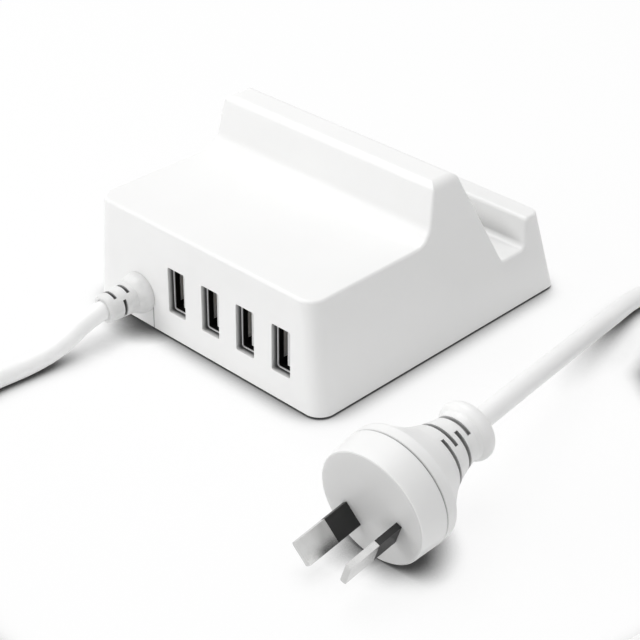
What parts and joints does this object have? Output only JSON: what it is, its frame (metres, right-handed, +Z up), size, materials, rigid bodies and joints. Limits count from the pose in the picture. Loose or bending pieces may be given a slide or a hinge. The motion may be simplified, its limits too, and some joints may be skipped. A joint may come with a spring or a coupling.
{
  "type": "desktop usb charger",
  "caption": "White desktop charger with a sloped ridge and slot that hold a phone, a row of upright USB-A ports, and a mains lead with a flat two-blade plug.",
  "frame": {"origin": "on the table under the middle of the case", "axes": "+X along the row of ports away from the lead, +Y towards the phone slot, +Z up"},
  "size_m": [0.2018, 0.2479, 0.0498],
  "materials": {
    "case_plastic": "fine satin moulding",
    "foot_rubber": "matt",
    "screw_steel": "zinc plated",
    "boot_plastic": "soft moulding",
    "cord_plastic": "soft jacket",
    "tie_plastic": "matt",
    "plug_plastic": "satin moulding",
    "pin_metal": "nickel plated",
    "sleeve_plastic": "satin",
    "shell_steel": "tin plated",
    "contact_brass": "gilt",
    "insulator_plastic": "satin",
    "board_laminate": "lacquered",
    "can_sleeve": "shrink sleeve",
    "film_case": "satin",
    "disc_coating": "dipped",
    "epoxy_black": "matt",
    "fuse_case": "satin",
    "ferrite": "matt",
    "winding_copper": "enamelled",
    "bobbin_plastic": "matt",
    "sink_aluminium": "mill finish",
    "wire_brown": "satin",
    "wire_blue": "satin"
  },
  "bodies": {
    "root": {"upper_housing": "case_plastic", "base_cover": "case_plastic", "rubber_foot_1": "foot_rubber", "rubber_foot_2": "foot_rubber", "rubber_foot_3": "foot_rubber", "rubber_foot_4": "foot_rubber", "case_screws": "screw_steel", "board_screws": "screw_steel", "cord_boot": "boot_plastic", "cord_lead": "cord_plastic", "cord_coil": "cord_plastic", "cord_end": "cord_plastic", "coil_tie": "tie_plastic", "plug_body": "plug_plastic", "live_pin": "pin_metal", "neutral_pin": "pin_metal", "live_pin_sleeve": "sleeve_plastic", "neutral_pin_sleeve": "sleeve_plastic", "usb_shell_1": "shell_steel", "usb_shell_2": "shell_steel", "usb_shell_3": "shell_steel", "usb_shell_4": "shell_steel", "usb_contacts_1": "contact_brass", "usb_contacts_2": "contact_brass", "usb_contacts_3": "contact_brass", "usb_contacts_4": "contact_brass", "usb_insulator_1": "insulator_plastic", "usb_insulator_2": "insulator_plastic", "usb_insulator_3": "insulator_plastic", "usb_insulator_4": "insulator_plastic", "main_board": "board_laminate", "bulk_capacitor_1": "can_sleeve", "bulk_capacitor_2": "can_sleeve", "output_capacitor_1": "can_sleeve", "output_capacitor_2": "can_sleeve", "output_capacitor_3": "can_sleeve", "x_capacitor": "film_case", "y_capacitor": "disc_coating", "bridge_rectifier": "epoxy_black", "switching_transistor": "epoxy_black", "output_rectifier": "epoxy_black", "optocoupler": "epoxy_black", "mains_fuse": "fuse_case", "choke_core": "ferrite", "transformer_core": "ferrite", "choke_windings": "winding_copper", "transformer_winding": "winding_copper", "transformer_bobbin": "bobbin_plastic", "primary_heatsink": "sink_aluminium", "secondary_heatsink": "sink_aluminium", "live_lead": "wire_brown", "neutral_lead": "wire_blue"}
  },
  "joints": []
}
